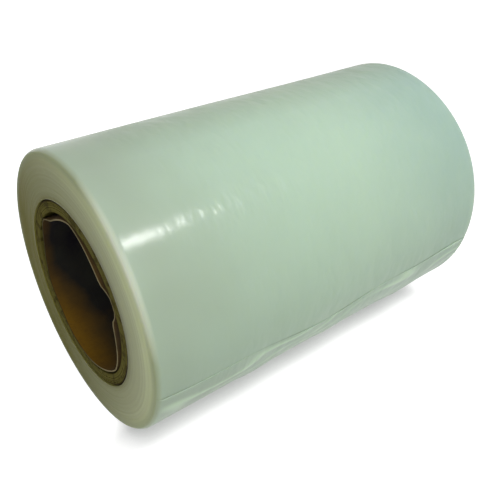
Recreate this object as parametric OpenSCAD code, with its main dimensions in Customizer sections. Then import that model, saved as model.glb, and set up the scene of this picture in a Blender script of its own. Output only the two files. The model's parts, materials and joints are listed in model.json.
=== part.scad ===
// Roll of protective film: milky film wound on a spiral-wound paper core, lying on its side.
// The roll's axis runs along X. The mouth with the loose inner ply is at -X, and the roll
// rests on a narrow flat at Z = 0, midway between its ends.

/* [Film] */
// Width of the film, which is the length of the roll
film_width = 203; // [120:1:320]
// Diameter over the last turn
roll_d = 133; // [112:1:180]
// Thickness of the film
film_t = 0.15; // [0.08:0.01:0.3]
// Radius of the soft shoulder at each end
shoulder_r = 3; // [1:0.5:5]

/* [Turns] */
// How far the proud bands of turns stand out of each end face
band_rise = 0.3; // [0.1:0.05:0.6]
// Distance from one proud band to the next, along the radius
band_pitch = 1.6; // [1:0.1:3]
// Width of a proud band, along the radius
band_width = 0.8; // [0.3:0.1:0.9]

/* [Free end] */
// Angle of the free end's root round the axis, from the back of the roll
tail_angle = 203; // [190:1:235]
// Length of the film that stands off the roll
tail_length = 10; // [5:0.5:16]
// Angle at which it leaves the roll
tail_lift = 2; // [1:0.5:4]
// How far its corners are drawn in from the end faces
tail_inset = 1; // [0.5:0.1:3]

/* [Core] */
// Bore of the core
core_bore_d = 76.2; // [70:0.1:80]
// Wall of the core, with its inner ply
core_wall = 6.5; // [3:0.1:8]
// How far the core's ends lie behind the film's end faces
core_recess = 0.5; // [0.3:0.1:4]
// Chamfer on the outer edges of the core
core_chamfer = 0.8; // [0.2:0.1:1.5]
// Depth of the grooves between the core's plies, at its ends
ply_groove = 0.5; // [0.2:0.1:1]

/* [Inner ply] */
// Thickness of the innermost ply
ply_t = 0.7; // [0.5:0.1:1.5]
// How deep the ply has come unglued at the mouth
peel_depth = 18; // [8:1:30]
// Gap between the loose ply and the wall where it still lies close
peel_gap = 0.1; // [0.05:0.05:0.3]

/* [Rest] */
// Width of the flat that the roll's weight has pressed
flat_w = 14; // [8:1:20]

/* [Hidden] */
$fn = 128;

roll_r = roll_d / 2;
bore_r = core_bore_d / 2;
ply_r = bore_r + ply_t;
core_r = bore_r + core_wall;
axis_z = sqrt(pow(roll_r, 2) - pow(flat_w / 2, 2));
core_length = film_width - 2 * core_recess;

// Outline of half the winding, from the bore out to the last turn, at one end face
shoulder_steps = 8;
face_z = film_width / 2 - band_rise;
function shoulder(z_sign) = [
    for (i = [0 : shoulder_steps])
        let (a = 90 * (z_sign > 0 ? i : shoulder_steps - i) / shoulder_steps)
        [roll_r - shoulder_r + shoulder_r * cos(a),
         z_sign * (face_z - shoulder_r + shoulder_r * sin(a))]
];

// The bands of turns follow a spiral of half circles, each struck from one of two centres
spare_half_turns = 2;
half_turns = floor((roll_r - shoulder_r - core_r) / (band_pitch / 2)) - spare_half_turns;
band_root = 0.5;

// The strip of film that stands off starts inside the winding by this much
tail_root = 1.5;

// The glued plies of the core show at its ends, with a groove between each and the next
core_plies = 3;
groove_w = 0.25;

// Dents of the loose ply: angle round the axis, depth, and the angles it spreads before and after
ply_dents = [
    [14, 3.8, 60, 34],
    [60, 3.6, 20, 50],
    [141, 5.8, 60, 13],
    [174, 5.2, 12, 60],
    [240, 1.2, 40, 40],
    [322, 2.2, 30, 44]
];
peel_curve = 1.6;
peel_rings = 7;
ply_sides = 80;
ply_overlap = 1;
joint_inset = 0.15;

// Swell of one dent at an angle, 1 at its middle and 0 past its sides
function swell(a, dent) =
    let (d = (a - dent[0] + 540) % 360 - 180, share = d < 0 ? -d / dent[2] : d / dent[3])
    share >= 1 ? 0 : pow(cos(90 * share), 2);

// How far the ply stands off the wall at an angle, at a share of the peel's depth
function lift(a, share) =
    pow(1 - share, peel_curve) * max([for (dent = ply_dents) dent[1] * swell(a, dent)]);

module along_x() {
    translate([0, 0, axis_z]) rotate([90, 0, 90]) children();
}

// One half circle of a proud band, counted from the core outwards
module half_band(k) {
    centre = (k % 2 == 0 ? -1 : 1) * band_pitch / 4;
    inner = core_r + (k + 1) * band_pitch / 2;
    translate([centre, 0, face_z - band_root])
        rotate([0, 0, k % 2 == 0 ? 0 : 180])
            rotate_extrude(angle = 180)
                translate([inner, 0])
                    square([band_width, band_root + band_rise]);
}

module turn_bands() {
    for (k = [0 : half_turns - 1]) half_band(k);
}

// The film's free end: a thin strip that leaves the roll nearly along its tangent
module tail() {
    along = [sin(tail_lift), cos(tail_lift)];
    inward = [-cos(tail_lift), sin(tail_lift)] * film_t;
    root = [roll_r, 0] - tail_root * along;
    tip = [roll_r, 0] + tail_length * along;
    rotate([0, 0, tail_angle])
        linear_extrude(height = film_width - 2 * tail_inset, center = true)
            mirror([0, 1]) polygon([root, tip, tip + inward, root + inward]);
}

module film_winding() {
    color("honeydew") difference() {
        along_x() {
            rotate_extrude()
                polygon(concat([[core_r, -face_z]], shoulder(-1), shoulder(1), [[core_r, face_z]]));
            turn_bands();
            mirror([0, 0, 1]) turn_bands();
            tail();
        }
        translate([-film_width, -roll_r, -roll_d]) cube([2 * film_width, roll_d, roll_d]);
    }
}

// Half of the core's wall in section, from its middle to one end, with a groove between its plies
function core_end(z_sign) =
    let (
        end = z_sign * core_length / 2,
        floor_z = z_sign * (core_length / 2 - ply_groove),
        pitch = (core_r - ply_r) / core_plies,
        half_w = groove_w / 2,
        out = [
            for (k = [1 : core_plies - 1])
                let (r = ply_r + k * pitch)
                each [
                    [r - half_w, end],
                    [r - half_w, floor_z],
                    [r + half_w, floor_z],
                    [r + half_w, end]
                ]
        ]
    )
    concat([[ply_r, end]], out, [[core_r - core_chamfer, end], [core_r, end - z_sign * core_chamfer]]);

function reversed(points) = [for (i = [len(points) - 1 : -1 : 0]) points[i]];

module core_tube() {
    color("saddlebrown") along_x() rotate_extrude()
        polygon(concat(core_end(-1), reversed(core_end(1))));
}

// Ring of the loose ply at a share of the peel's depth: 1 for its outer skin, 0 for its inner
function ply_ring(share, skin) = [
    for (j = [0 : ply_sides - 1])
        let (
            a = 360 * j / ply_sides,
            joined = share * joint_inset,
            off = lift(a, share),
            r = skin == 1 ? ply_r - peel_gap - joined - off : bore_r + joined - off,
            z = -core_length / 2 + share * (peel_depth + ply_overlap)
        )
        [r * cos(a), r * sin(a), z]
];

// Quads between two rings of points that start at the given indices
function band_faces(from, to, n) = [
    for (j = [0 : n - 1]) [from + j, from + (j + 1) % n, to + (j + 1) % n, to + j]
];

// The unglued mouth of the ply, a wavy sheet that comes back to the wall as it goes in
module loose_mouth() {
    n = ply_sides;
    shares = [for (i = [0 : peel_rings]) i / peel_rings];
    skins = [for (skin = [1, 0]) for (s = shares) ply_ring(s, skin)];
    points = [for (ring = skins) for (p = ring) p];
    inner = (peel_rings + 1) * n;
    faces = concat(
        [for (i = [0 : peel_rings - 1]) each band_faces((i + 1) * n, i * n, n)],
        [for (i = [0 : peel_rings - 1]) each band_faces(inner + i * n, inner + (i + 1) * n, n)],
        band_faces(0, inner, n),
        band_faces(inner + peel_rings * n, peel_rings * n, n)
    );
    polyhedron(points = points, faces = [for (f = faces) each [[f[0], f[1], f[2]], [f[0], f[2], f[3]]]]);
}

module core_inner_ply() {
    start = -core_length / 2 + peel_depth;
    color("tan") along_x() {
        translate([0, 0, start]) rotate_extrude()
            translate([bore_r, 0]) square([ply_t, core_length / 2 - start]);
        loose_mouth();
    }
}

film_winding();
core_tube();
core_inner_ply();
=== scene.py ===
"""Roll of milky protective film on a paper core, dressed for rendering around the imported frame."""

import json
import math

import bpy
import numpy as np
from mathutils import Matrix, Vector

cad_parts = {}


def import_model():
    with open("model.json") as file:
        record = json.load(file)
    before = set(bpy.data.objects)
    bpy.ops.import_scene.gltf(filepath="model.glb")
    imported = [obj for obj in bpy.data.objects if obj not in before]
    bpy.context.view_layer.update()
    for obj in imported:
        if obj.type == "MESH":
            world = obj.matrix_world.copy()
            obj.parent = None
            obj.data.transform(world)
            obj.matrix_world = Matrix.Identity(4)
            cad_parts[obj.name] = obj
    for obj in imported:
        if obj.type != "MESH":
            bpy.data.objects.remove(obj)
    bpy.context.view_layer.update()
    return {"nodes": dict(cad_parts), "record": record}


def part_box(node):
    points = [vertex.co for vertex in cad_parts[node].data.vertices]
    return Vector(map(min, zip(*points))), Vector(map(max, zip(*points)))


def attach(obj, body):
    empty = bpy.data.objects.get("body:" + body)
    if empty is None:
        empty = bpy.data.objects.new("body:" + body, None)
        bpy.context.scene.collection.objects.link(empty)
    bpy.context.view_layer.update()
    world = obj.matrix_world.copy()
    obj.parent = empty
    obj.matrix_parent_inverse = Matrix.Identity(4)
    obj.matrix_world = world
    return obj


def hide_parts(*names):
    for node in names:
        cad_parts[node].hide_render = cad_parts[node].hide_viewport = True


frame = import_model()

MM = 0.001
TURN = 2 * math.pi

# Sizes from the frame
FILM_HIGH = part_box("film_winding")[1]
CORE_LOW, CORE_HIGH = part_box("core_tube")
CORE_BORE = frame["record"]["mounts"][0]

AXIS_Z = CORE_BORE["pos_m"][2]
BORE_R = CORE_BORE["dims"]["r_mm"] * MM
CORE_R = (CORE_HIGH.y - CORE_LOW.y) / 2
ROLL_R = FILM_HIGH.z - AXIS_Z
HALF_WIDTH = FILM_HIGH.x
CORE_END = CORE_HIGH.x

# The winding's rounded shoulders, and the bands of turns on its end faces
SHOULDER = 3 * MM
BAND_RISE = 0.3 * MM
BAND_PITCH = 1.6 * MM
BAND_SHARE = 0.6

# Columns round the winding, and rows up an end face, round a shoulder and along the side
SIDES = 384
FACE_ROWS = 56
SHOULDER_ROWS = 10
SIDE_ROWS = 120
SHARP_FROM = math.radians(50)


def smooth(t):
    """Eases from 0 to 1 as t does."""
    t = np.clip(t, 0, 1)
    return t * t * (3 - 2 * t)


def bump(x, middle, before, after):
    """A rounded swell, 1 at its middle and 0 past its sides."""
    d = x - middle
    share = np.where(d < 0, -d / before, d / after)
    return np.where(share < 1, np.cos(np.clip(share, 0, 1) * math.pi / 2) ** 2, 0)


class Waves:
    """A sum of seeded sine waves over angle and length: the same slow unevenness each run."""

    def __init__(self, seed, count, turns, per_metre):
        rng = np.random.default_rng(seed)
        self.turns = rng.integers(turns[0], turns[1] + 1, count)
        self.lengths = rng.uniform(per_metre[0], per_metre[1], count) * rng.choice([-1, 1], count)
        self.phases = rng.uniform(0, TURN, count)

    def __call__(self, angle, x):
        total = 0
        for turn, length, phase in zip(self.turns, self.lengths, self.phases):
            total = total + np.sin(turn * angle + TURN * length * x + phase)
        return total / math.sqrt(len(self.turns))


def on_roll(x, r, angle):
    """Points at a place along the axis, a radius and an angle round it from the back."""
    x, r, angle = np.broadcast_arrays(x, r, angle)
    return np.stack([x, r * np.cos(angle), AXIS_Z + r * np.sin(angle)], -1)


def ring_faces(rings):
    """Quads between rings of points, joined round."""
    i, j = np.meshgrid(np.arange(rings - 1) * SIDES, np.arange(SIDES), indexing="ij")
    i, j = i.ravel(), j.ravel()
    k = (j + 1) % SIDES
    return np.stack([i + k, i + SIDES + k, i + SIDES + j, i + j], -1)


def make_piece(name, points, faces, materials, which):
    """A smooth-shaded mesh that rides on the roll, with the index of each face's material."""
    mesh = bpy.data.meshes.new(name)
    mesh.from_pydata(points.reshape(-1, 3).tolist(), [], faces.tolist())
    mesh.shade_smooth()
    mesh.set_sharp_from_angle(angle=SHARP_FROM)
    for material in materials:
        mesh.materials.append(material)
    mesh.polygons.foreach_set("material_index", which)
    piece = bpy.data.objects.new(name, mesh)
    bpy.context.scene.collection.objects.link(piece)
    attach(piece, "root")
    return piece


# Colours of the film's side and of its end faces
# Along the roll: the film's own tone, painted light in the middle, painted shade toward the ends
FILM_NEAR_TONE_AND_SHADE = (0.40, 0.49, 0.375)
FILM_MID_TONE_AND_LIGHT = (0.485, 0.645, 0.50)
FILM_FAR_TONE_AND_SHADE = (0.35, 0.50, 0.435)
# Painted shade toward the side's top and bottom
FILM_TOP_PAINTED_SHADE = (0.30, 0.40, 0.24)
FILM_LOW_PAINTED_SHADE = (0.36, 0.46, 0.34)
FILM_CLOUD = (0.55, 0.73, 0.585)
# Painted light on the free end's creases, and painted shade between them and under its cut edge
FILM_PAINTED_CREASE_LIGHT = (0.60, 0.79, 0.55)
FILM_PAINTED_CREASE_SHADE = (0.22, 0.28, 0.20)
# The end faces' painted light, and their painted shade, which the coarse bands of turns share
FILM_END = (0.85, 0.93, 0.60)
FILM_END_PAINTED_SHADE_AND_BANDS = (0.175, 0.158, 0.016)
FILM_END_LINE = (0.88, 0.94, 0.66)
# A painted highlight along the rims toward one side, and the rims' plain colour elsewhere
FILM_RIM = (0.88, 0.96, 0.76)
FILM_RIM_PLAIN = (0.40, 0.455, 0.28)

# Colours of the core and of its inner ply
BOARD_DARK = (0.075, 0.060, 0.008)
BOARD_LIGHT = (0.23, 0.21, 0.05)
# Stains on the board, also used as painted shade at the core's outer edge
BOARD_STAIN_AND_SHADE = (0.022, 0.014, 0.002)
BOARD_FIBRE = (0.24, 0.21, 0.07)
PLY_WARM = (0.25, 0.130, 0.010)
# Painted shade in the bore, dark and greyish
PLY_PAINTED_SHADE = (0.014, 0.012, 0.018)
PLY_DEEP_GREY = (0.034, 0.034, 0.027)
PLY_FIBRE = (0.06, 0.040, 0.015)
PLY_EDGE = (0.36, 0.30, 0.16)
# Stains on the ply's cut edge, also used as painted shade on one side of it
PLY_EDGE_STAIN_AND_SHADE = (0.05, 0.038, 0.008)

# What the last turn and the film's edges share
FILM_BODY = dict(
    IOR=1.5,
    Subsurface_Radius=(1.0, 0.95, 0.6),
    Subsurface_Scale=14 * MM,
)

# How deep from the near end the tight film turns slack, and the depths where its gloss fades
SLACK_DEPTH = (22 * MM, 46 * MM)
GLOSS_DEPTH = (14 * MM, 36 * MM)

# Noise of each kind: its spots per metre, or per millimetre of radius for turns and plies, then
# its detail and its roughness
FILM_CLOUDS = (14.0, 2.0)
FILM_HAZE = (40.0, 2.0, 0.5)
FINE_TURNS = (2.2, 6.0, 0.7)
COARSE_TURNS = (0.5, 2.0, 0.5)
BOARD_PLIES = (1.3, 3.0, 0.6)
BOARD_FIBRES = (900.0, 6.0, 0.65)
BOARD_MOTTLE = (190.0, 4.0, 0.6)
PLY_MOTTLE = (70.0, 4.0, 0.6)
PLY_CLOUDS = (30.0, 2.0)

# Noise that is drawn out: its spots per metre along X, Y and Z, then its detail and its roughness
FILM_SLACK = ((20, 9, 9), 1.0, 0.5)
FILM_RIPPLE = ((130, 60, 60), 2.0, 0.5)
PLY_FIBRES = ((500, 1400, 1400), 5.0, 0.6)

# Strength and height of each relief
SLACK_RELIEF = (0.25, 2.0 * MM)
RIPPLE_RELIEF = (0.8, 1.4 * MM)
TURN_RELIEF = (0.2, 0.2 * MM)
BOARD_MOTTLE_RELIEF = (0.5, 0.6 * MM)
BOARD_FIBRE_RELIEF = (0.6, 0.2 * MM)
PLY_MOTTLE_RELIEF = (0.3, 0.5 * MM)
PLY_FIBRE_RELIEF = (0.5, 0.1 * MM)

# How strongly each tone covers the colour below it
CLOUD_SHARE = 0.4
OVER_SHARE = 0.75
UNDER_SHARE = 0.55
CREASE_SHARE = 0.7
TURN_SHARE = 0.15
STAIN_SHARE = 0.6
BOARD_FIBRE_SHARE = 0.45
PLY_FIBRE_SHARE = 0.3
EDGE_STAIN_SHARE = 0.5

# End faces: painted light toward this side, painted shade, darker and yellower, on the other
PAINTED_LIGHT_SIDE = (0, -0.94, 0.342)

# The soft rims get a painted highlight toward this side, where they catch the light most
RIM_PAINTED_HIGHLIGHT_SIDE = (0, -0.77, 0.64)

# The last turn gets painted shade toward these sides, where it bends out of the light
OVER_SIDE = (0, 0.629, 0.777)
UNDER_SIDE = (0, -0.629, -0.777)

# Painted shade spares the bore's wall low down and toward the back, close to the mouth
LIT_WALL = (0, 0.342, -0.94)


class Nodes:
    """A new material with short calls for its nodes."""

    def __init__(self, name):
        self.material = bpy.data.materials.new(name)
        self.material.use_nodes = True
        self.tree = self.material.node_tree
        self.shader = self.tree.nodes["Principled BSDF"]
        self.place = self.tree.nodes.new("ShaderNodeTexCoord").outputs["Object"]

    def add(self, kind, **settings):
        node = self.tree.nodes.new(kind)
        for key, value in settings.items():
            setattr(node, key, value)
        return node

    def link(self, source, target):
        self.tree.links.new(source, target)

    def value(self, operation, a, b=None, clamp=False):
        node = self.add("ShaderNodeMath", operation=operation, use_clamp=clamp)
        for socket, given in zip(node.inputs, (a, b)):
            if given is None:
                continue
            if isinstance(given, (int, float)):
                socket.default_value = given
            else:
                self.link(given, socket)
        return node.outputs[0]

    def scaled(self, factors):
        """A point's place, stretched along each axis."""
        node = self.add("ShaderNodeVectorMath", operation="MULTIPLY")
        self.link(self.place, node.inputs[0])
        node.inputs[1].default_value = factors
        return node.outputs[0]

    def drawn_out(self, spots, detail, rough):
        """Noise from 0 to 1, with its own scale along each axis."""
        return self.noise(self.scaled(spots), 1.0, detail, rough)

    def noise(self, source, scale, detail, rough=0.55):
        """Noise from 0 to 1."""
        node = self.add("ShaderNodeTexNoise")
        self.link(source, node.inputs["Vector"])
        node.inputs["Scale"].default_value = scale
        node.inputs["Detail"].default_value = detail
        node.inputs["Roughness"].default_value = rough
        return node.outputs["Fac"]

    def remap(self, source, low, high, to_low=0.0, to_high=1.0):
        """Spreads a value from one range to another and holds it there."""
        node = self.add("ShaderNodeMapRange")
        self.link(source, node.inputs["Value"])
        ends = (("From Min", low), ("From Max", high), ("To Min", to_low), ("To Max", to_high))
        for key, given in ends:
            node.inputs[key].default_value = given
        return node.outputs["Result"]

    def mix(self, factor, a, b):
        node = self.add("ShaderNodeMix", data_type="RGBA")
        self.link(factor, node.inputs["Factor"])
        for key, given in (("A", a), ("B", b)):
            socket = [s for s in node.inputs if s.name == key and s.type == "RGBA"][0]
            if isinstance(given, tuple):
                socket.default_value = (*given, 1)
            else:
                self.link(given, socket)
        return [s for s in node.outputs if s.type == "RGBA"][0]

    def parts(self):
        """A point's place as X, Y and Z."""
        split = self.add("ShaderNodeSeparateXYZ")
        self.link(self.place, split.inputs[0])
        return split.outputs

    def depth(self, near_end):
        """How far in along the roll's axis a point lies from a near end at this distance."""
        return self.value("ADD", self.parts()["X"], near_end)

    def radius(self):
        """Distance from the roll's axis, which lies along X."""
        parts = self.parts()
        up = self.value("SUBTRACT", parts["Z"], AXIS_Z)
        across = self.value("MULTIPLY", parts["Y"], parts["Y"])
        return self.value("SQRT", self.value("ADD", across, self.value("MULTIPLY", up, up)))

    def turns(self):
        """A texture place that changes only with the radius, in millimetres."""
        ring = self.add("ShaderNodeCombineXYZ")
        self.link(self.value("MULTIPLY", self.radius(), 1 / MM), ring.inputs["X"])
        return ring.outputs[0]

    def side(self, direction, low, high):
        """How far a point lies from the axis toward a direction, from 0 to 1."""
        from_axis = self.add("ShaderNodeVectorMath", operation="SUBTRACT")
        self.link(self.place, from_axis.inputs[0])
        from_axis.inputs[1].default_value = (0, 0, AXIS_Z)
        toward = self.add("ShaderNodeVectorMath", operation="DOT_PRODUCT")
        self.link(from_axis.outputs[0], toward.inputs[0])
        toward.inputs[1].default_value = direction
        return self.remap(toward.outputs["Value"], low, high)

    def set(self, **values):
        """Sets or links the shader's sockets by name, with _ for each space."""
        for key, given in values.items():
            socket = self.shader.inputs[key.replace("_", " ")]
            if isinstance(given, bpy.types.NodeSocket):
                self.link(given, socket)
            else:
                socket.default_value = given

    def relief(self, heights):
        """Bumps one after another, each a (height, strength, distance)."""
        normal = None
        for height, strength, distance in heights:
            node = self.add("ShaderNodeBump")
            node.inputs["Strength"].default_value = strength
            node.inputs["Distance"].default_value = distance
            self.link(height, node.inputs["Height"])
            if normal is not None:
                self.link(normal, node.inputs["Normal"])
            normal = node.outputs["Normal"]
        for socket in ("Normal", "Coat Normal"):
            self.link(normal, self.shader.inputs[socket])


def rim_colour(n):
    """Colour of the rims, where an end face turns into the side, with a painted highlight."""
    return n.mix(n.side(RIM_PAINTED_HIGHLIGHT_SIDE, 0.8 * ROLL_R, 1.0 * ROLL_R), FILM_RIM_PLAIN, FILM_RIM)


def film_side_material():
    """The last turn of milky film: a soft green-white body under a smooth slack skin, with painted
    light and shade.
    """
    n = Nodes("milky_film")
    radius, depth = n.radius(), n.depth(HALF_WIDTH)
    drift = n.noise(n.place, *FILM_CLOUDS)
    along = n.remap(depth, 0, 2 * HALF_WIDTH)
    # Along the roll: the film's own tone, painted light in the middle, painted shade toward the ends
    colour = n.mix(n.remap(along, 0.05, 0.4), FILM_NEAR_TONE_AND_SHADE, FILM_MID_TONE_AND_LIGHT)
    colour = n.mix(n.remap(along, 0.6, 1.0), colour, FILM_FAR_TONE_AND_SHADE)
    colour = n.mix(n.remap(drift, 0.35, 0.65, 0, CLOUD_SHARE), colour, FILM_CLOUD)
    # Painted shade toward the top and the bottom of the side
    over = n.side(OVER_SIDE, 0.6 * ROLL_R, 1.0 * ROLL_R)
    colour = n.mix(n.value("MULTIPLY", over, OVER_SHARE), colour, FILM_TOP_PAINTED_SHADE)
    under = n.side(UNDER_SIDE, -0.35 * ROLL_R, 0.9 * ROLL_R)
    colour = n.mix(n.value("MULTIPLY", under, UNDER_SHARE), colour, FILM_LOW_PAINTED_SHADE)
    # Painted light on the creases, painted shade between them and a painted shadow under the cut
    # edge
    crease = n.add("ShaderNodeAttribute", attribute_name="crease").outputs["Fac"]
    colour = n.mix(n.remap(crease, 0, 1, 0, CREASE_SHARE), colour, FILM_PAINTED_CREASE_LIGHT)
    colour = n.mix(n.remap(crease, 0, -1, 0, CREASE_SHARE), colour, FILM_PAINTED_CREASE_SHADE)
    # The shoulder takes the rims' colour, with its painted highlight
    over_shoulder = n.remap(radius, ROLL_R - 1.6 * MM, ROLL_R - 0.4 * MM)
    past_rim = n.value("MINIMUM", over_shoulder, n.remap(depth, 0.3 * MM, 3 * MM))
    colour = n.mix(past_rim, rim_colour(n), colour)
    slack = n.drawn_out(*FILM_SLACK)
    ripple = n.drawn_out(*FILM_RIPPLE)
    ripple = n.value("MULTIPLY", ripple, n.remap(depth, *SLACK_DEPTH, 0.12, 1))
    n.relief([(slack, *SLACK_RELIEF), (ripple, *RIPPLE_RELIEF)])
    haze = n.noise(n.place, *FILM_HAZE)
    gloss = n.remap(depth, *GLOSS_DEPTH, 0.44, 0.2)
    gloss = n.value("MULTIPLY", gloss, n.remap(under, 0.1, 0.8, 1, 0.15))
    n.set(Base_Color=colour, Roughness=n.remap(haze, 0.3, 0.7, 0.3, 0.4), **FILM_BODY)
    n.set(Specular_IOR_Level=0.08, Subsurface_Weight=0.5, Coat_Weight=gloss, Coat_Roughness=0.17)
    return n.material


def film_end_material():
    """The film's edges at an end face: fine turns, painted light on one side, yellow painted shade
    on the other.
    """
    n = Nodes("film_edges")
    radius, turns = n.radius(), n.turns()
    fine_turns = n.noise(turns, *FINE_TURNS)
    coarse_turns = n.noise(turns, *COARSE_TURNS)
    # Painted light grows toward the rim and one side; painted shade darkens the face by the core
    outward = n.remap(radius, CORE_R, ROLL_R - 4 * MM, 0.6, 1)
    clear = n.value("MULTIPLY", n.side(PAINTED_LIGHT_SIDE, -0.68 * ROLL_R, 0.95 * ROLL_R), outward)
    clear = n.value("MULTIPLY", clear, n.remap(radius, CORE_R, CORE_R + 2.5 * MM, 0.4, 1))
    colour = n.mix(clear, FILM_END_PAINTED_SHADE_AND_BANDS, FILM_END)
    colour = n.mix(n.remap(fine_turns, 0.35, 0.7, 0, TURN_SHARE), colour, FILM_END_LINE)
    # Coarse bands of turns darken toward the same colour as the painted shade
    colour = n.mix(n.remap(coarse_turns, 0.35, 0.65, 0, TURN_SHARE), colour, FILM_END_PAINTED_SHADE_AND_BANDS)
    # Toward the rim the face takes the rims' colour, with its painted highlight
    colour = n.mix(n.remap(radius, ROLL_R - 5 * MM, ROLL_R - 1.4 * MM), colour, rim_colour(n))
    n.relief([(fine_turns, *TURN_RELIEF)])
    n.set(Base_Color=colour, Roughness=n.remap(fine_turns, 0.3, 0.7, 0.4, 0.55), **FILM_BODY)
    n.set(Specular_IOR_Level=0.02, Subsurface_Weight=0.8)
    return n.material


def board_material():
    """Core board: compressed brown plies with mottled, fibrous cut ends and painted shade at the
    outer edge.
    """
    n = Nodes("core_board")
    plies = n.noise(n.turns(), *BOARD_PLIES)
    fibre = n.noise(n.place, *BOARD_FIBRES)
    mottle = n.noise(n.place, *BOARD_MOTTLE)
    colour = n.mix(n.remap(plies, 0.35, 0.65), BOARD_DARK, BOARD_LIGHT)
    colour = n.mix(n.remap(mottle, 0.5, 0.62, 0, STAIN_SHARE), colour, BOARD_STAIN_AND_SHADE)
    colour = n.mix(n.remap(fibre, 0.52, 0.75, 0, BOARD_FIBRE_SHARE), colour, BOARD_FIBRE)
    # Painted shade at the core's outer edge, in the gap by the film
    rim = n.remap(n.radius(), CORE_R - 1.4 * MM, CORE_R - 0.7 * MM)
    colour = n.mix(rim, colour, BOARD_STAIN_AND_SHADE)
    n.relief([(mottle, *BOARD_MOTTLE_RELIEF), (fibre, *BOARD_FIBRE_RELIEF)])
    n.set(Base_Color=colour, Roughness=n.remap(fibre, 0.3, 0.7, 0.75, 0.95))
    n.set(Specular_IOR_Level=0.05)
    return n.material


def ply_material():
    """Inner ply: thin paper, tan at its cut edge, warm brown by the mouth, with painted shade
    further in.
    """
    n = Nodes("core_ply")
    depth = n.depth(CORE_END)
    fibre = n.drawn_out(*PLY_FIBRES)
    mottle = n.noise(n.place, *PLY_MOTTLE)
    # Painted shade deeper in and away from the lit wall, with mottled unevenness
    inward = n.remap(depth, 3 * MM, 20 * MM)
    past_mouth = n.remap(depth, 0.5 * MM, 4 * MM, 0.7, 0.92)
    unlit = n.value("MULTIPLY", n.side(LIT_WALL, 0.98 * BORE_R, 0.4 * BORE_R), past_mouth)
    stain = n.remap(mottle, 0.35, 0.65, -0.1, 0.1)
    deep = n.value("ADD", n.value("ADD", inward, unlit), stain, clamp=True)
    cloud = n.noise(n.place, *PLY_CLOUDS)
    dark = n.mix(n.remap(cloud, 0.4, 0.6), PLY_PAINTED_SHADE, PLY_DEEP_GREY)
    colour = n.mix(deep, PLY_WARM, dark)
    colour = n.mix(n.remap(fibre, 0.5, 0.75, 0, PLY_FIBRE_SHARE), colour, PLY_FIBRE)
    edge = n.remap(depth, 0.05 * MM, 0.25 * MM, 1, 0)
    # The cut edge gets painted shade away from one side, and stains from the mottle
    edge_colour = n.mix(n.side(PAINTED_LIGHT_SIDE, -0.6 * BORE_R, 0.1 * BORE_R), PLY_EDGE_STAIN_AND_SHADE, PLY_EDGE)
    edge_stain = n.remap(mottle, 0.5, 0.65, 0, EDGE_STAIN_SHARE)
    edge_colour = n.mix(edge_stain, edge_colour, PLY_EDGE_STAIN_AND_SHADE)
    colour = n.mix(edge, colour, edge_colour)
    n.relief([(mottle, *PLY_MOTTLE_RELIEF), (fibre, *PLY_FIBRE_RELIEF)])
    n.set(Base_Color=colour, Roughness=0.85, Specular_IOR_Level=0.15)
    return n.material


# Slow unevenness of the side, and of the end faces
side_waves = Waves(11, 9, (2, 7), (1, 9))
face_waves = Waves(12, 7, (1, 5), (0, 0))

# Gap between the dressed film and the core
CORE_GAP = 0.03 * MM

# The film's cut end lies along the roll, on the side toward the floor
CUT_ANGLE = math.radians(196)
CUT_COLUMN = round(CUT_ANGLE / TURN * SIDES)
CUT_EASE = math.radians(30)

# Angle between the two columns at the cut, in radians
CUT_WIDTH = 0.0006

# The last turn is loose over this angle past its cut
LAST_TURN = math.radians(50)

# Further round, toward the floor, the slack film hangs off the roll in places
SAG_MIDDLE = math.radians(34)
SAG_BEFORE = math.radians(26)
SAG_AFTER = math.radians(22)

# How far the free end stands off the turn below, in millimetres: at its cut, on its slow waves,
# on its creases and where it hangs
CUT_STEP = 0.12
WAVE_MOST = 0.25
CREASE_MOST = 0.45
SAG_MOST = 0.8

# It lies flat again toward the end faces, over this length
FREE_END_EASE = 5 * MM

# How far the dressed film lies inside the frame's box, and how uneven its faces and side are
FACE_BACK = 0.1 * MM
SIDE_BACK = 0.12 * MM
FACE_DISH = 0.25 * MM
SIDE_WAVE = 0.08 * MM


def cut_drift(x):
    """How far the cut end wanders from a straight line, as an angle."""
    slow = 2.6 * np.sin(TURN * (x + 0.055) * 5.6) + 1.1 * np.sin(TURN * x * 14 + 2.4)
    return np.radians(slow)


def face_relief(r, angle, seed_turn):
    """How far a turn stands out of an end face: a spiral of soft bands of uneven height."""
    phase = (r - CORE_R) / BAND_PITCH - angle / TURN
    band = 0.5 + 0.5 * np.cos(TURN * phase)
    uneven = 0.55 + 0.45 * np.sin(1.7 * phase + 3.1 * np.sin(0.37 * phase) + seed_turn)
    return BAND_RISE * band * uneven * BAND_SHARE


def film_profile():
    """Place along the axis and radius of each ring, from the core round to the core again."""
    face_r = np.linspace(CORE_R + CORE_GAP, ROLL_R - SHOULDER, FACE_ROWS)
    arc = np.linspace(0, math.pi / 2, SHOULDER_ROWS + 2)[1:-1]
    side_x = np.linspace(-HALF_WIDTH + SHOULDER, HALF_WIDTH - SHOULDER, SIDE_ROWS)
    near = [(-HALF_WIDTH, r) for r in face_r]
    for a in arc[::-1]:
        x = -HALF_WIDTH + SHOULDER * (1 - math.sin(a))
        near.append((x, ROLL_R - SHOULDER * (1 - math.cos(a))))
    far = [(-x, r) for x, r in near[::-1]]
    return near + [(x, ROLL_R) for x in side_x] + far


def column_angles(x):
    """Angles of the columns of one ring, with two of them drawn together where the film is cut."""
    plain = np.arange(SIDES) * TURN / SIDES
    from_cut = plain - plain[CUT_COLUMN]
    ease = 1 - smooth(np.abs(from_cut) / CUT_EASE)
    after = ease * (from_cut > 0)
    to_cut = CUT_ANGLE - plain[CUT_COLUMN] + cut_drift(x)
    return plain + ease * to_cut - after * (TURN / SIDES - CUT_WIDTH)


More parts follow.
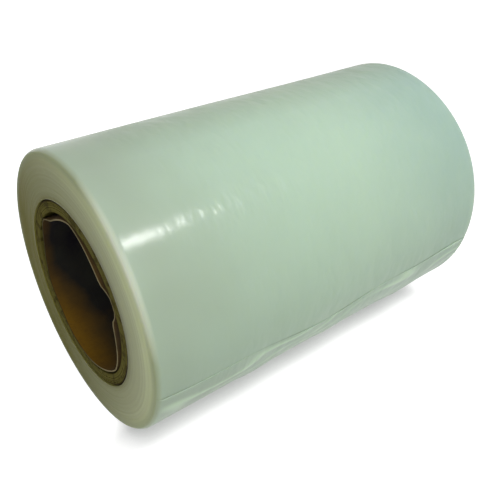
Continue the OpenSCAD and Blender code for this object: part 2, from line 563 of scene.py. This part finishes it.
def free_end(x, angle):
    """How far the film's free end stands off the turn below, and the painted light on its creases.

    A crease gets painted light above 0 and painted shade below it. The sines space the waves and
    creases unevenly:
    the factors of x are waves per metre along the roll, and those of past are waves per radian.
    """
    past = angle - CUT_ANGLE - cut_drift(x)
    share = np.clip(1 - past / LAST_TURN, 0, 1) * (np.arange(SIDES) > CUT_COLUMN)
    wave = 0.5 + 0.5 * np.sin(TURN * (x * 19 + 0.7 * share) + 1.3 * math.sin(TURN * x * 7))
    bend = 2.2 * np.sin(TURN * (x * 8 + past * 1.4))
    bend = bend + 1.4 * np.sin(TURN * (x * 17 - past * 2.8) + 1)
    crease = (0.5 + 0.5 * np.sin(TURN * (x * 20 + past * 5.5) + bend)) ** 4
    patch = 0.5 + 0.5 * np.sin(TURN * (x * 9 + past * 2.3) + 4 * math.sin(TURN * x * 5))
    loose = share ** 3 * (WAVE_MOST * wave + CREASE_MOST * crease * patch)
    hang = max(0, math.sin(TURN * x * 13 + 2.2 * math.sin(TURN * x * 4.3) + 0.6)) ** 2
    loose = loose + SAG_MOST * hang * bump(past, SAG_MIDDLE, SAG_BEFORE, SAG_AFTER)
    to_face = smooth((HALF_WIDTH - abs(x)) / FREE_END_EASE)
    # Painted light on the creases and painted shade between them
    painted_crease_lines = crease * (0.25 + 0.85 * patch) - 0.1 * (1 - crease)
    painted_crease_light = smooth(share * 2) * painted_crease_lines * to_face
    # A painted shadow under the free edge, along the cut column
    painted_crease_light = np.where(np.arange(SIDES) == CUT_COLUMN, -patch, painted_crease_light)
    return (CUT_STEP * smooth(share * 2) + loose) * MM * to_face, painted_crease_light


def film_winding():
    """The winding: end faces with a spiral of turns, soft rims, a slack side and the free end."""
    rings, creases = [], []
    rows = film_profile()
    for x, r in rows:
        angle = column_angles(x)
        sign = -1 if x < 0 else 1
        reach = smooth((r - CORE_R) / (2 * MM)) * smooth((ROLL_R - SHOULDER * 0.3 - r) / (2 * MM))
        out = face_relief(r, angle, 0 if sign < 0 else 2.0) - BAND_RISE
        dish = FACE_DISH * face_waves(angle, 0) * smooth((r - CORE_R) / (20 * MM))
        on_face = smooth((abs(x) - HALF_WIDTH + SHOULDER) / SHOULDER)
        on_side = smooth((r - ROLL_R + 4 * MM) / (4 * MM))
        xs = x + sign * on_face * (out * reach + np.minimum(dish, 0) - FACE_BACK)
        lift, painted_crease_light = free_end(x, angle)
        rs = r + on_side * (SIDE_WAVE * side_waves(angle, x) - SIDE_BACK + lift)
        rings.append(on_roll(xs, rs, angle))
        creases.append(painted_crease_light * on_side)
    points = np.stack(rings)
    points[..., 2] = np.maximum(points[..., 2], 0)
    bore = ring_faces(2)
    last = (len(rows) - 1) * SIDES
    bore = np.where(bore >= SIDES, bore - SIDES, bore + last)
    faces = np.concatenate([ring_faces(len(rows)), bore])
    is_end = np.array(rows)[:-1, 1] < ROLL_R - 0.4 * SHOULDER
    is_end = np.concatenate([np.repeat(is_end, SIDES), np.ones(SIDES, bool)]).astype(np.int32)
    piece = make_piece("film_turns", points, faces, (FILM_SIDE, FILM_END_FACE), is_end)
    # The creases' painted light and shade, kept on each point
    crease = piece.data.attributes.new("crease", "FLOAT", "POINT")
    crease.data.foreach_set("value", np.concatenate(creases).astype(np.float32))
    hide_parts("film_winding")


# The floor's grey for the camera and for light that bounces off it, and how much its glow lifts it
# in the open and in the painted shadow by the roll
FLOOR_SEEN = 0.45
FLOOR_BOUNCE = 0.65
FLOOR_LIFT = 0.9
FLOOR_LIFT_IN_PAINTED_SHADOW = 0.22

# The floor's painted shadow reaches this far, from deepest to gone at these shares of open air
PAINTED_SHADOW_REACH = 14 * MM
AIR_DEEPEST = 0.22
AIR_OPEN = 0.97

# Before the near end face painted light clears the floor of its shadow, from one distance toward
# this side to the other
CLEAR_FLOOR = (-0.783, 0.622, 0)
CLEAR_FLOOR_FROM = 0.054
CLEAR_FLOOR_BY = 0.069

# The room is brightest toward this side
ROOM_BRIGHT_SIDE = (0.0, -0.8, 0.6)
ROOM_DIM = 0.1
ROOM_BRIGHT = 0.59


def floor(material):
    """A wide plain floor under the roll."""
    mesh = bpy.data.meshes.new("floor")
    reach = 6.0
    corners = [(-reach, -reach, 0), (reach, -reach, 0), (reach, reach, 0), (-reach, reach, 0)]
    mesh.from_pydata(corners, [], [(0, 1, 2, 3)])
    mesh.materials.append(material)
    plane = bpy.data.objects.new("floor", mesh)
    bpy.context.scene.collection.objects.link(plane)


def rays_that_see(tree):
    """1 for camera rays and for those that a glossy or clear surface sends on."""
    rays = tree.nodes.new("ShaderNodeLightPath")
    seen = rays.outputs["Is Camera Ray"]
    for kind in ("Is Glossy Ray", "Is Transmission Ray"):
        either = tree.nodes.new("ShaderNodeMath")
        either.operation = "MAXIMUM"
        tree.links.new(seen, either.inputs[0])
        tree.links.new(rays.outputs[kind], either.inputs[1])
        seen = either.outputs[0]
    return seen


def floor_material():
    """A floor lifted white in the open; painted shadow deepens the roll's shadow, painted light
    clears it by the near end.
    """
    n = Nodes("white_floor")
    seen = rays_that_see(n.tree)
    n.set(Roughness=0.8, Specular_IOR_Level=0.0)
    n.set(Base_Color=n.mix(seen, (FLOOR_BOUNCE,) * 3, (FLOOR_SEEN,) * 3))
    open_air = n.add("ShaderNodeAmbientOcclusion", samples=8)
    open_air.inputs["Distance"].default_value = PAINTED_SHADOW_REACH
    before_face = n.add("ShaderNodeVectorMath", operation="DOT_PRODUCT")
    n.link(n.place, before_face.inputs[0])
    before_face.inputs[1].default_value = CLEAR_FLOOR
    clear = n.remap(before_face.outputs["Value"], CLEAR_FLOOR_FROM, CLEAR_FLOOR_BY)
    air = open_air.outputs["AO"]
    # Painted shadow: the glow drops where ambient occlusion finds the roll close
    lift = n.remap(air, AIR_DEEPEST, AIR_OPEN, FLOOR_LIFT_IN_PAINTED_SHADOW, FLOOR_LIFT)
    # Painted light before the near end face clears that shadow
    lift = n.value("MAXIMUM", lift, clear)
    glow = n.add("ShaderNodeEmission")
    n.link(n.value("MULTIPLY", seen, lift), glow.inputs["Strength"])
    both = n.add("ShaderNodeAddShader")
    n.link(n.shader.outputs[0], both.inputs[0])
    n.link(glow.outputs[0], both.inputs[1])
    n.link(both.outputs[0], n.tree.nodes["Material Output"].inputs["Surface"])
    return n.material


def world():
    """A room that lights the roll from one side and shows as plain white."""
    scene = bpy.context.scene
    scene.world = bpy.data.worlds.new("studio")
    scene.world.use_nodes = True
    tree = scene.world.node_tree
    room = tree.nodes["Background"]
    white = tree.nodes.new("ShaderNodeBackground")
    pick = tree.nodes.new("ShaderNodeMixShader")
    place = tree.nodes.new("ShaderNodeTexCoord")
    toward = tree.nodes.new("ShaderNodeVectorMath")
    toward.operation = "DOT_PRODUCT"
    toward.inputs[1].default_value = Vector(ROOM_BRIGHT_SIDE).normalized()
    level = tree.nodes.new("ShaderNodeMapRange")
    ends = (("From Min", -0.3), ("From Max", 1), ("To Min", ROOM_DIM), ("To Max", ROOM_BRIGHT))
    for key, given in ends:
        level.inputs[key].default_value = given
    tree.links.new(place.outputs["Generated"], toward.inputs[0])
    tree.links.new(toward.outputs["Value"], level.inputs["Value"])
    tree.links.new(level.outputs["Result"], room.inputs["Strength"])
    room.inputs["Color"].default_value = (1, 1, 1, 1)
    white.inputs["Color"].default_value = (1, 1, 1, 1)
    white.inputs["Strength"].default_value = 1
    tree.links.new(rays_that_see(tree), pick.inputs["Fac"])
    tree.links.new(room.outputs[0], pick.inputs[1])
    tree.links.new(white.outputs[0], pick.inputs[2])
    tree.links.new(pick.outputs[0], tree.nodes["World Output"].inputs["Surface"])


def area_light(name, place, target, along, length, width, watts):
    """A lamp that faces a target, with its long side laid along a direction."""
    lamp = bpy.data.lights.new(name, "AREA")
    lamp.shape = "RECTANGLE"
    lamp.size = length
    lamp.size_y = width
    lamp.energy = watts
    holder = bpy.data.objects.new(name, lamp)
    bpy.context.scene.collection.objects.link(holder)
    back = (Vector(place) - Vector(target)).normalized()
    side = Vector(along)
    side = (side - back * side.dot(back)).normalized()
    turn = Matrix((side, back.cross(side), back)).transposed()
    holder.matrix_world = Matrix.Translation(place) @ turn.to_4x4()


# Each lamp's name, place, target, direction of its long side, length, width and watts: two small
# ones for the highlight and a wide soft one
GLINT_ALONG = (0.95, 0.18, -0.25)
LAMPS = (
    ("glint", (0.121, -0.343, 0.580), (-0.096, -0.0468, 0.1134), GLINT_ALONG, 0.09, 0.06, 0.9),
    ("glint_far", (0.222, -0.322, 0.556), (-0.065, -0.0467, 0.1136), GLINT_ALONG, 0.12, 0.07, 0.13),
    ("soft", (-0.1, -0.9, 0.85), (0, 0, 0.06), (1, 0, 0), 0.9, 0.9, 4.2),
)

CAMERA_PLACE = Vector((-0.18211, -0.22546, 0.23350))
CAMERA_FORWARD = Vector((0.52586, 0.66107, -0.53511))
CAMERA_LENS = 45.21


def camera():
    """The photograph's view."""
    data = bpy.data.cameras.new("camera")
    data.sensor_width = 36
    data.lens = CAMERA_LENS
    data.clip_start = 0.01
    holder = bpy.data.objects.new("camera", data)
    bpy.context.scene.collection.objects.link(holder)
    holder.location = CAMERA_PLACE
    holder.rotation_euler = CAMERA_FORWARD.to_track_quat("-Z", "Y").to_euler()
    bpy.context.scene.camera = holder


FILM_SIDE = film_side_material()
FILM_END_FACE = film_end_material()
BOARD = board_material()
PLY = ply_material()

film_winding()
for node, material in (("core_tube", BOARD), ("core_inner_ply", PLY)):
    mesh = frame["nodes"][node].data
    mesh.materials.clear()
    mesh.materials.append(material)

floor(floor_material())
world()
for lamp in LAMPS:
    area_light(*lamp)
camera()

view = bpy.context.scene.view_settings
view.view_transform = "Standard"
